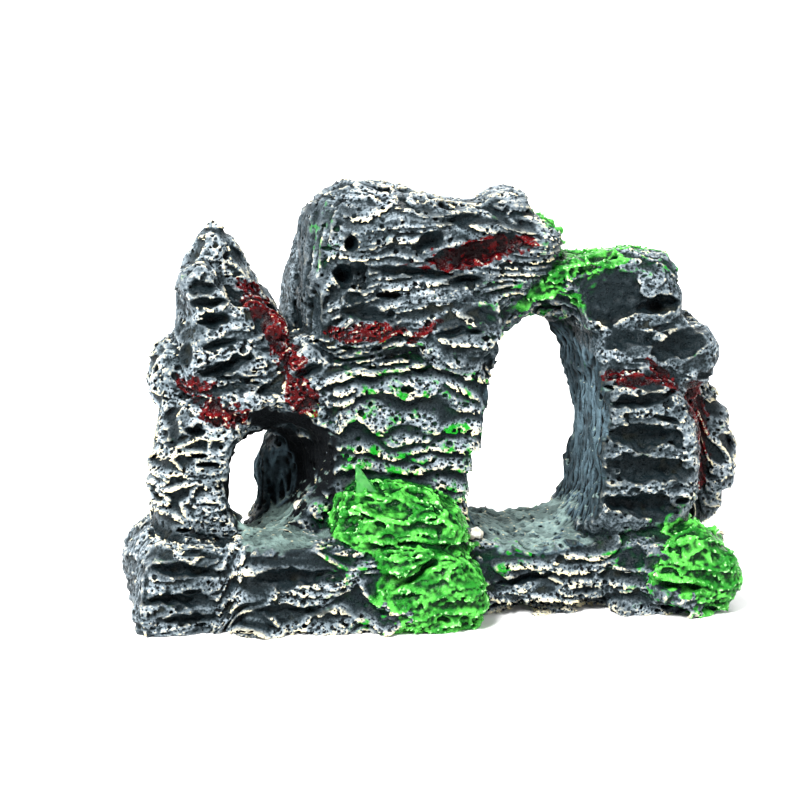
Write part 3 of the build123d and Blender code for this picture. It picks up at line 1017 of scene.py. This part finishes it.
def wall_colour(paint, colour, wall, tunnel, crest, hollow):
    """Blue-grey arch walls, a cave coloured near-black as painted shade, sandy grey-green floors, and
    darker floors inside the cave as painted shade.
    """
    smooth = paint.blend(paint.ramp(crest, -0.12, 0.10), BLACK, WALL_BLUE)
    smooth = paint.blend(paint.ramp(paint.noise(9, 2), 0.60, 0.40, 0.0, 0.6), smooth, SLATE)
    flecks = paint.ramp(paint.noise(1.3, 2), 0.74, 0.80)
    # painted shade: the cave's walls are near-black, with a few lilac flecks of paint
    cave = paint.blend(flecks, TUNNEL_PAINTED_SHADE, LILAC)
    smooth = paint.blend(paint.ramp(tunnel, 0.1, 0.35), smooth, cave)
    # painted shade: floors inside the cave are darker than the open floors
    floor = paint.blend(paint.ramp(tunnel, 0.1, 0.4), FLOOR_GREEN, CAVE_FLOOR_SHADED)
    sandy = paint.blend(paint.ramp(crest, -0.25, 0.05), SLATE, floor)
    sandy = paint.blend(paint.ramp(paint.noise(7, 3), 0.40, 0.60), paint.blend(0.5, sandy, SLATE), sandy)
    grains = paint.times(paint.ramp(crest, 0.05, 0.3), paint.ramp(paint.noise(0.9, 3), 0.48, 0.66))
    sandy = paint.blend(grains, sandy, CREAM)
    smooth = paint.blend(paint.ramp(paint.upward(), 0.45, 0.8), smooth, sandy)
    inner = paint.times(paint.ramp(wall, 0.25, 0.7), paint.ramp(hollow, 0.75, 0.40))
    return paint.blend(inner, colour, smooth)


def moss_colour(paint, crest, hollow):
    """Dark between the grains, leaf green and bright green in patches, pale painted glints on the grain
    tops.
    """
    leaf = paint.blend(paint.ramp(paint.noise(5, 3), 0.42, 0.60), MOSS_LEAF, MOSS_BRIGHT)
    colour = paint.blend(paint.ramp(crest, -0.12, 0.12), MOSS_DARK, leaf)
    colour = paint.blend(paint.ramp(hollow, -0.1, -1.0, 0.0, 0.85), colour, MOSS_DARK)
    # painted highlight: pale glints on the highest grains
    painted_moss_glints = paint.times(paint.ramp(crest, 0.12, 0.30), paint.ramp(paint.noise(0.9, 2), 0.50, 0.62))
    return paint.blend(painted_moss_glints, colour, MOSS_PAINTED_GLINT)


def rock_material(name):
    """The painted resin: rock, moss and red wash, told apart by the mesh's own painted values."""
    paint = Paint(name)
    crest, hollow, crumbly, moss, damp, wall, tunnel, red, green, bare = map(paint.attribute, PAINTED)
    ragged = paint.times(paint.add(paint.noise(3.4, 4), -0.5), 1.7)
    colour = rock_colour(paint, crest, hollow, crumbly)
    colour = wall_colour(paint, colour, wall, tunnel, crest, hollow)
    by_moss = paint.ramp(paint.add(damp, paint.times(ragged, 0.5)), 0.10, 0.40)
    near_moss = paint.math("MAXIMUM", by_moss, green)
    near_moss = paint.times(near_moss, paint.ramp(tunnel, 0.05, 0.30, 1.0, 0.0))
    colour = paint.blend(paint.times(near_moss, paint.ramp(crest, 0.0, -0.2)), colour, DEEP_GREEN)
    rim = paint.times(paint.ramp(crest, 0.04, 0.2), paint.ramp(paint.noise(3.5, 2), 0.49, 0.62))
    colour = paint.blend(paint.times(near_moss, rim), colour, LEAF_GREEN)
    cover = paint.add(paint.add(moss, ragged), paint.times(bare, -1.1))
    grown = paint.times(paint.ramp(cover, 0.28, 0.56), paint.ramp(moss, 0.05, 0.3))
    colour = paint.blend(grown, colour, moss_colour(paint, crest, hollow))
    sunk = paint.ramp(hollow, 0.0, -0.6)
    wear_and_glint_gaps = paint.math("MAXIMUM", paint.ramp(paint.noise(1.1, 2), 0.30, 0.42), sunk)
    # painted highlight: the red stain is left off small spots on the crests, so the paler paint under it
    # shows as glints
    glints = paint.times(paint.ramp(crest, 0.14, 0.30), paint.ramp(paint.noise(0.8, 2), 0.50, 0.58))
    wear_and_glint_gaps = paint.times(wear_and_glint_gaps, paint.ramp(glints, 0.0, 1.0, 1.0, 0.0))
    stain_with_glint_gaps = paint.times(paint.ramp(red, 0.3, 0.7), wear_and_glint_gaps)
    red_colour = paint.blend(paint.ramp(crest, -0.05, 0.32), DARK_RED, CRIMSON)
    glaze = paint.blend(paint.ramp(paint.noise(1.6, 3), 0.54, 0.70), DARK_RED, CRIMSON)
    red_colour = paint.blend(sunk, red_colour, glaze)
    colour = paint.blend(stain_with_glint_gaps, colour, red_colour)
    paint.put(colour, paint.shader.inputs["Base Color"])
    open_stain = paint.times(stain_with_glint_gaps, paint.ramp(sunk, 0.0, 1.0, 1.0, 0.3))
    wet = paint.math("MAXIMUM", paint.times(grown, 0.8), open_stain)
    dull = paint.ramp(wall, 0.2, 0.6, 0.5, 0.9)
    paint.put(paint.add(dull, paint.times(wet, -0.35)), paint.shader.inputs["Roughness"])
    paint.put(PAINT_GLOSS, paint.shader.inputs["Specular IOR Level"])
    grit = paint.bump(paint.noise(0.5, 3), 0.25)
    pores = paint.bump(paint.math("MINIMUM", paint.pores(0.8), paint.pores(1.6)), 0.25, grit)
    paint.put(pores, paint.shader.inputs["Normal"])
    return paint.material


def mottled_material(name, first, second, size, roughness):
    """Two colours in cloudy patches, with a fine grain."""
    paint = Paint(name)
    share = paint.ramp(paint.noise(size, 4), 0.42, 0.62)
    paint.put(paint.blend(share, first, second), paint.shader.inputs["Base Color"])
    paint.put(roughness, paint.shader.inputs["Roughness"])
    paint.put(paint.bump(paint.noise(size / 3, 3), 0.15), paint.shader.inputs["Normal"])
    return paint.material


# ---- the pieces ----
def hand_over(piece, name, material):
    piece.data.materials.append(material)
    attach(piece, "root")
    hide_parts(name)


def build_stones():
    rockery = Rockery()
    pits = scattered_pits(rockery)
    hollows = front_hollows(rockery)
    slots = sorted({SLOT_OF[name] for name in STONES})
    materials = {slot: rock_material(slot) for slot in slots}
    with ThreadPoolExecutor(THREADS) as pool:
        carved = list(pool.map(lambda name: carve(name, rockery, pits, hollows), STONES))
    for name, (vertices, triangles, paint) in zip(STONES, carved):
        piece = make_mesh(name + "_rock", vertices, triangles, paint)
        hand_over(piece, name, materials[SLOT_OF[name]])


def carve_bit(name, roundness, lumps):
    """A glued bit: its CAD form with softened edges and an uneven surface."""
    points, triangles = node_surface(name)
    lattice = Lattice(TINY, points.min(0) - 2, points.max(0) + 2)
    field = blur(distance_to(points, triangles, lattice), roundness / TINY)
    x, y, z = lattice.places(np.ones(lattice.shape, bool))
    uneven = noise(4, x, y, z, 1.9, 1.9) + 0.5 * noise(6, x, y, z, 0.8, 0.8)
    field = field + lumps * uneven.reshape(lattice.shape)
    return largest_piece(*closed_mesh(grid_of(field, lattice)))


def build_bits():
    pebble = mottled_material("white_pebble", PEBBLE_BROWN, PEBBLE_WHITE, 1.6, 0.5)
    shard = mottled_material("green_shard", SHARD_GREEN, SHARD_PALE, 3.0, 0.3)
    for name, roundness, lumps, material in (
        ("leaf_shard", 0.25, 0.22, shard),
        ("pebble_arch", 0.3, 0.45, pebble),
        ("pebble_cave", 0.3, 0.55, pebble),
    ):
        piece = make_mesh(name + "_bit", *carve_bit(name, roundness, lumps), {})
        hand_over(piece, name, material)


# ---- the studio ----
AZIMUTH, ELEVATION, DISTANCE, LENS = -11.0, 12.0, 0.590, 105.0
TARGET = Vector((-0.0102, 0.0, 0.0523))


def make_camera():
    data = bpy.data.cameras.new("camera")
    data.lens = LENS
    data.clip_start = 0.01
    camera = add_object("camera", data)
    turn, rise = math.radians(AZIMUTH), math.radians(ELEVATION)
    back = Vector(
        (math.sin(turn) * math.cos(rise), -math.cos(turn) * math.cos(rise), math.sin(rise))
    )
    camera.location = TARGET + back * DISTANCE
    camera.rotation_euler = (-back).to_track_quat("-Z", "Y").to_euler()
    bpy.context.scene.camera = camera


def make_floor():
    """A pale sheet that lies flat under the object and curves up far behind it."""
    flat_end, bend, wide, tall = 1.4, 0.8, 3.0, 3.0
    profile = [(-wide, 0.0), (flat_end, 0.0)]
    for step in range(1, 13):
        turn = math.radians(90 * step / 12)
        profile.append((flat_end + bend * math.sin(turn), bend - bend * math.cos(turn)))
    profile.append((flat_end + bend, tall))
    corners = [(side * wide, y, z) for y, z in profile for side in (-1, 1)]
    faces = [(2 * i, 2 * i + 1, 2 * i + 3, 2 * i + 2) for i in range(len(profile) - 1)]
    mesh = bpy.data.meshes.new("floor")
    mesh.from_pydata(corners, [], faces)
    for polygon in mesh.polygons:
        polygon.use_smooth = True
    floor = add_object("floor", mesh)
    material = bpy.data.materials.new("pale_floor")
    material.use_nodes = True
    shader = material.node_tree.nodes["Principled BSDF"]
    shader.inputs["Base Color"].default_value = (0.9, 0.9, 0.9, 1)
    shader.inputs["Roughness"].default_value = 0.9
    mesh.materials.append(material)


def make_light(name, place, size, power, target=(0, 0, 0.05)):
    data = bpy.data.lights.new(name, "AREA")
    data.size = size
    data.energy = power
    light = add_object(name, data)
    light.location = place
    aim = Vector(target) - Vector(place)
    light.rotation_euler = aim.to_track_quat("-Z", "Y").to_euler()


def make_studio():
    make_floor()
    make_light("key", (-0.5, -0.6, 0.9), 0.35, 34)
    make_light("fill", (0.9, -0.6, 0.5), 0.7, 7)
    make_light("rim", (0.2, 0.9, 0.8), 0.6, 8)
    make_light("side", (-0.9, 0.3, 0.3), 0.5, 8)
    make_light("backdrop", (0.3, 0.6, 1.6), 1.0, 40, (0.3, 2.2, 0.3))
    world = bpy.data.worlds.new("studio")
    world.use_nodes = True
    world.node_tree.nodes["Background"].inputs["Color"].default_value = (1, 1, 1, 1)
    world.node_tree.nodes["Background"].inputs["Strength"].default_value = 0.4
    bpy.context.scene.world = world
    bpy.context.scene.view_settings.view_transform = "Standard"


make_camera()
make_studio()
build_stones()
build_bits()
